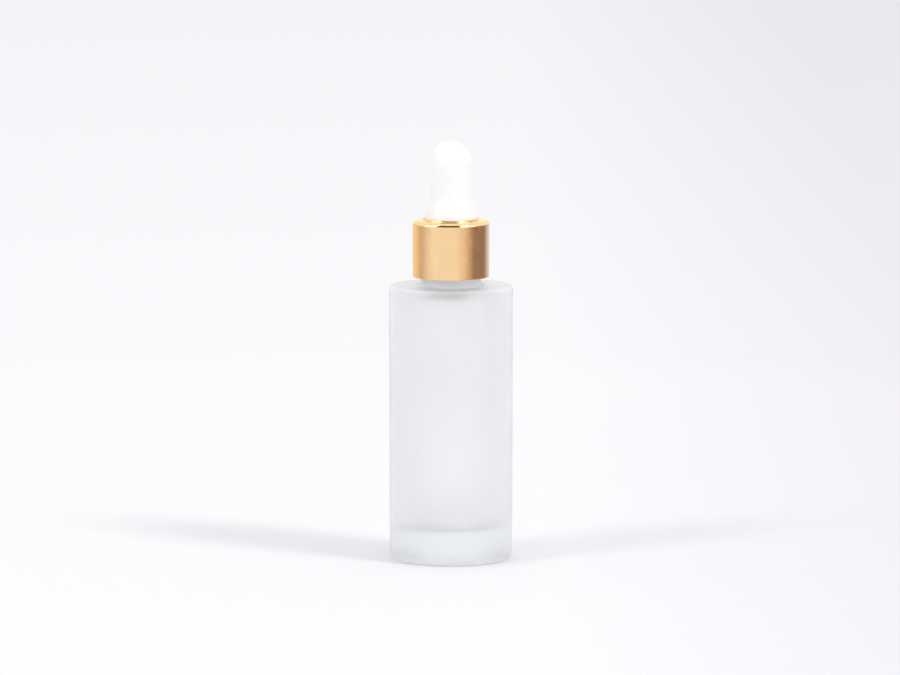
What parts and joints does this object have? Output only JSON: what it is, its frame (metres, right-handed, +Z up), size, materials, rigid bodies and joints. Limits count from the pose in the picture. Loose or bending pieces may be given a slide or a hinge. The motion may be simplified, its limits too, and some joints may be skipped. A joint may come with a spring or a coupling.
{
  "type": "dropper bottle",
  "caption": "Frosted glass dropper bottle: a screw-on gold collar holds a white rubber bulb and a glass pipette that draws up and drips liquid.",
  "frame": {"origin": "centre of the bottle's base, on the surface it stands on", "axes": "+Z up along the bottle's axis; the bulb is pinched along X"},
  "size_m": [0.033, 0.033, 0.112],
  "materials": {
    "frosted_glass": "acid-etched outside, translucent, no colour",
    "clear_glass": "clear and fire-polished",
    "bulb_rubber": "matte white, smooth moulded",
    "cap_plastic": "moulded polypropylene, white",
    "gold_aluminium": "anodised, bright pale gold",
    "washer_plastic": "soft polyethylene, milky"
  },
  "bodies": {
    "bottle": {"bottle": "frosted_glass"},
    "washer": {"sealing_washer": "washer_plastic"},
    "tube": {"pipette": "clear_glass"},
    "closure": {"inner_cap": "cap_plastic", "collar": "gold_aluminium", "bulb": "bulb_rubber"},
    "grip_left": {"bulb_grip_left": "bulb_rubber"},
    "grip_right": {"bulb_grip_right": "bulb_rubber"}
  },
  "joints": [
    {"name": "lift_out", "type": "slide", "parent": "bottle", "child": "washer", "axis": [0, 0, 1], "range_m": [0, 0.06]},
    {"name": "thread_rise", "type": "slide", "parent": "washer", "child": "tube", "axis": [0, 0, 1], "range_m": [0, 0.004]},
    {"name": "unscrew", "type": "hinge", "parent": "tube", "child": "closure", "pos_m": [0, 0, 0.0838], "axis": [0, 0, 1], "range_deg": [0, 450]},
    {"name": "bulb_squeeze", "type": "slide", "parent": "closure", "child": "grip_left", "axis": [1, 0, 0], "range_m": [0, 0.003], "stiffness_N_per_m": 800},
    {"name": "bulb_squeeze_right", "type": "slide", "parent": "closure", "child": "grip_right", "axis": [-1, 0, 0], "range_m": [0, 0.003], "stiffness_N_per_m": 800}
  ],
  "couplings": [
    {"joint": "thread_rise", "follows": "unscrew", "m_per_rad": 0.00050532},
    {"joint": "bulb_squeeze_right", "follows": "bulb_squeeze", "ratio": 1}
  ]
}
